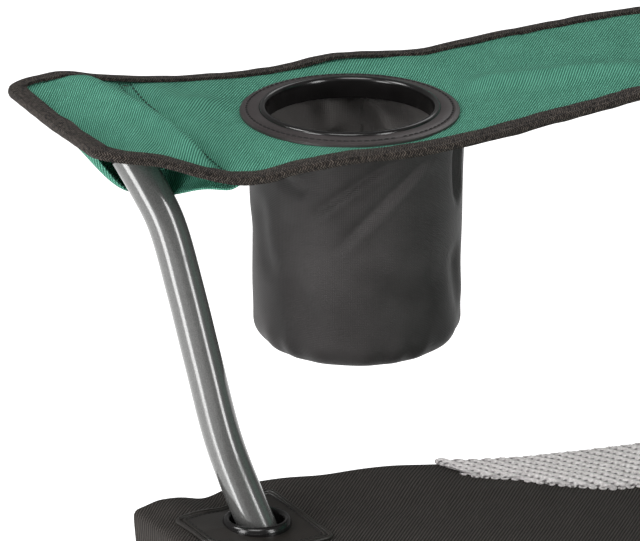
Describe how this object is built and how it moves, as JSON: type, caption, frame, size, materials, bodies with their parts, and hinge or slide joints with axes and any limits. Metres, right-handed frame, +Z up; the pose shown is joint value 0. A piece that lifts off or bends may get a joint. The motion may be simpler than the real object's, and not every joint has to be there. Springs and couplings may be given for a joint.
{
  "type": "folding camp chair",
  "caption": "Folding camp chair: scissor-tube frame, sling seat, fabric back and arms, and a ringed cup holder bag in one arm.",
  "frame": {"origin": "middle of the chair's footprint box at floor level", "axes": "+Z up, the chair faces -Y, +X to the right seen from in front; the cup holder arm is at -X"},
  "size_m": [0.8121, 0.646, 0.8917],
  "materials": {
    "tube_paint": "grey powder coat, semi-gloss, metallic",
    "rivet_steel": "bright zinc",
    "black_plastic": "moulded, fine grain",
    "black_fabric": "black polyester twill",
    "green_fabric": "green polyester twill",
    "black_vinyl": "soft vinyl, satin"
  },
  "bodies": {
    "front_left_foot": {"front_left_foot": "black_plastic", "front_rising_foot_pin": "rivet_steel", "left_rising_foot_pin": "rivet_steel"},
    "front_rising": {"front_rising_tube": "tube_paint", "front_cross_rivet": "rivet_steel"},
    "front_falling": {"front_falling_tube": "tube_paint"},
    "front_right_foot": {"front_right_foot": "black_plastic", "front_falling_foot_pin": "rivet_steel", "right_rising_foot_pin": "rivet_steel"},
    "front_left_bracket": {"front_left_bracket": "black_plastic", "left_arm_post": "tube_paint", "left_arm_post_cap": "black_plastic", "front_falling_top_pin": "rivet_steel", "left_falling_top_pin": "rivet_steel", "seat_left_corner": "black_fabric", "seat_left_eyelet": "black_vinyl", "seat_front_band": "black_fabric"},
    "front_right_bracket": {"front_right_bracket": "black_plastic", "right_arm_post": "tube_paint", "right_arm_post_cap": "black_plastic", "front_rising_top_pin": "rivet_steel", "right_falling_top_pin": "rivet_steel", "seat_right_corner": "black_fabric", "seat_right_eyelet": "black_vinyl"},
    "left_rising": {"left_rising_tube": "tube_paint", "left_cross_rivet": "rivet_steel"},
    "left_falling": {"left_falling_tube": "tube_paint"},
    "rear_left_upright": {"rear_left_foot": "black_plastic", "rear_left_upright": "tube_paint", "rear_left_upright_cap": "black_plastic", "left_falling_foot_pin": "rivet_steel", "rear_rising_foot_pin": "rivet_steel", "back_panel": "green_fabric", "left_arm_rear": "green_fabric"},
    "rear_left_slider": {"rear_left_slider": "black_plastic", "left_rising_top_pin": "rivet_steel", "rear_falling_top_pin": "rivet_steel"},
    "rear_rising": {"rear_rising_tube": "tube_paint", "rear_cross_rivet": "rivet_steel"},
    "rear_falling": {"rear_falling_tube": "tube_paint"},
    "rear_right_upright": {"rear_right_foot": "black_plastic", "rear_right_upright": "tube_paint", "rear_right_upright_cap": "black_plastic", "rear_falling_foot_pin": "rivet_steel", "right_falling_foot_pin": "rivet_steel", "right_arm_rear": "green_fabric"},
    "rear_right_slider": {"rear_right_slider": "black_plastic", "rear_rising_top_pin": "rivet_steel", "right_rising_top_pin": "rivet_steel"},
    "right_rising": {"right_rising_tube": "tube_paint", "right_cross_rivet": "rivet_steel"},
    "right_falling": {"right_falling_tube": "tube_paint"},
    "seat_front": {"seat_front_panel": "green_fabric"},
    "seat_rear": {"seat_rear_panel": "green_fabric"},
    "left_arm": {"left_arm_front": "green_fabric", "cup_ring": "black_vinyl", "cup_bag": "black_fabric"},
    "right_arm": {"right_arm_front": "green_fabric"}
  },
  "joints": [
    {"name": "fold", "type": "hinge", "parent": "front_left_foot", "child": "front_rising", "pos_m": [-0.216, -0.237, 0.038], "axis": [0, -1, 0], "range_deg": [0, 39.16], "deforming": ["seat_front_band", "seat_front_panel", "seat_rear_panel", "back_panel", "left_arm_rear", "right_arm_rear", "cup_bag"]},
    {"name": "front_cross", "type": "hinge", "parent": "front_rising", "child": "front_falling", "pos_m": [0, -0.237, 0.228], "axis": [0, 1, 0], "range_deg": [0, 78.32]},
    {"name": "front_right_foot_pivot", "type": "hinge", "parent": "front_falling", "child": "front_right_foot", "pos_m": [0.216, -0.237, 0.038], "axis": [0, -1, 0], "range_deg": [0, 39.16]},
    {"name": "front_left_bracket_pivot", "type": "hinge", "parent": "front_falling", "child": "front_left_bracket", "pos_m": [-0.216, -0.237, 0.418], "axis": [0, -1, 0], "range_deg": [0, 39.16]},
    {"name": "front_right_bracket_pivot", "type": "hinge", "parent": "front_rising", "child": "front_right_bracket", "pos_m": [0.216, -0.237, 0.418], "axis": [0, 1, 0], "range_deg": [0, 39.16]},
    {"name": "left_rising_foot_pivot", "type": "hinge", "parent": "front_left_foot", "child": "left_rising", "pos_m": [-0.25, -0.203, 0.038], "axis": [1, 0, 0], "range_deg": [0, 39.16]},
    {"name": "left_cross", "type": "hinge", "parent": "left_rising", "child": "left_falling", "pos_m": [-0.25, 0.013, 0.228], "axis": [-1, 0, 0], "range_deg": [0, 78.32]},
    {"name": "rear_left_foot_pivot", "type": "hinge", "parent": "left_falling", "child": "rear_left_upright", "pos_m": [-0.25, 0.229, 0.038], "axis": [1, 0, 0], "range_deg": [0, 39.16]},
    {"name": "rear_left_slider_pivot", "type": "hinge", "parent": "left_rising", "child": "rear_left_slider", "pos_m": [-0.25, 0.229, 0.418], "axis": [-1, 0, 0], "range_deg": [0, 39.16]},
    {"name": "rear_rising_foot_pivot", "type": "hinge", "parent": "rear_left_upright", "child": "rear_rising", "pos_m": [-0.216, 0.263, 0.038], "axis": [0, -1, 0], "range_deg": [0, 39.16]},
    {"name": "rear_cross", "type": "hinge", "parent": "rear_rising", "child": "rear_falling", "pos_m": [0, 0.263, 0.228], "axis": [0, 1, 0], "range_deg": [0, 78.32]},
    {"name": "rear_right_foot_pivot", "type": "hinge", "parent": "rear_falling", "child": "rear_right_upright", "pos_m": [0.216, 0.263, 0.038], "axis": [0, -1, 0], "range_deg": [0, 39.16]},
    {"name": "rear_right_slider_pivot", "type": "hinge", "parent": "rear_rising", "child": "rear_right_slider", "pos_m": [0.216, 0.263, 0.418], "axis": [0, 1, 0], "range_deg": [0, 39.16]},
    {"name": "right_rising_foot_pivot", "type": "hinge", "parent": "front_right_foot", "child": "right_rising", "pos_m": [0.25, -0.203, 0.038], "axis": [1, 0, 0], "range_deg": [0, 39.16]},
    {"name": "right_cross", "type": "hinge", "parent": "right_rising", "child": "right_falling", "pos_m": [0.25, 0.013, 0.228], "axis": [-1, 0, 0], "range_deg": [0, 78.32]},
    {"name": "seat_front_fold", "type": "hinge", "parent": "front_left_bracket", "child": "seat_front", "pos_m": [-0.267, -0.208, 0.444], "axis": [-1, 0, 0], "range_deg": [0, 75.36]},
    {"name": "seat_rear_fold", "type": "hinge", "parent": "rear_left_slider", "child": "seat_rear", "pos_m": [-0.25, 0.243, 0.446], "axis": [1, 0, 0], "range_deg": [0, 75.36]},
    {"name": "left_arm_fold", "type": "hinge", "parent": "front_left_bracket", "child": "left_arm", "pos_m": [-0.331, -0.271, 0.6445], "axis": [-1, 0, 0], "range_deg": [0, 58.42]},
    {"name": "right_arm_fold", "type": "hinge", "parent": "front_right_bracket", "child": "right_arm", "pos_m": [0.331, -0.271, 0.6445], "axis": [-1, 0, 0], "range_deg": [0, 58.42]}
  ],
  "couplings": [
    {"joint": "front_cross", "follows": "fold", "ratio": 2},
    {"joint": "front_right_foot_pivot", "follows": "fold", "ratio": 1},
    {"joint": "front_left_bracket_pivot", "follows": "fold", "ratio": 1},
    {"joint": "front_right_bracket_pivot", "follows": "fold", "ratio": 1},
    {"joint": "left_rising_foot_pivot", "follows": "fold", "ratio": 1},
    {"joint": "left_cross", "follows": "fold", "ratio": 2},
    {"joint": "rear_left_foot_pivot", "follows": "fold", "ratio": 1},
    {"joint": "rear_left_slider_pivot", "follows": "fold", "ratio": 1},
    {"joint": "rear_rising_foot_pivot", "follows": "fold", "ratio": 1},
    {"joint": "rear_cross", "follows": "fold", "ratio": 2},
    {"joint": "rear_right_foot_pivot", "follows": "fold", "ratio": 1},
    {"joint": "rear_right_slider_pivot", "follows": "fold", "ratio": 1},
    {"joint": "right_rising_foot_pivot", "follows": "fold", "ratio": 1},
    {"joint": "right_cross", "follows": "fold", "ratio": 2},
    {"joint": "seat_front_fold", "follows": "fold", "ratio": 1.9244},
    {"joint": "seat_rear_fold", "follows": "fold", "ratio": 1.9244},
    {"joint": "left_arm_fold", "follows": "fold", "ratio": 1.4919},
    {"joint": "right_arm_fold", "follows": "fold", "ratio": 1.4919}
  ]
}
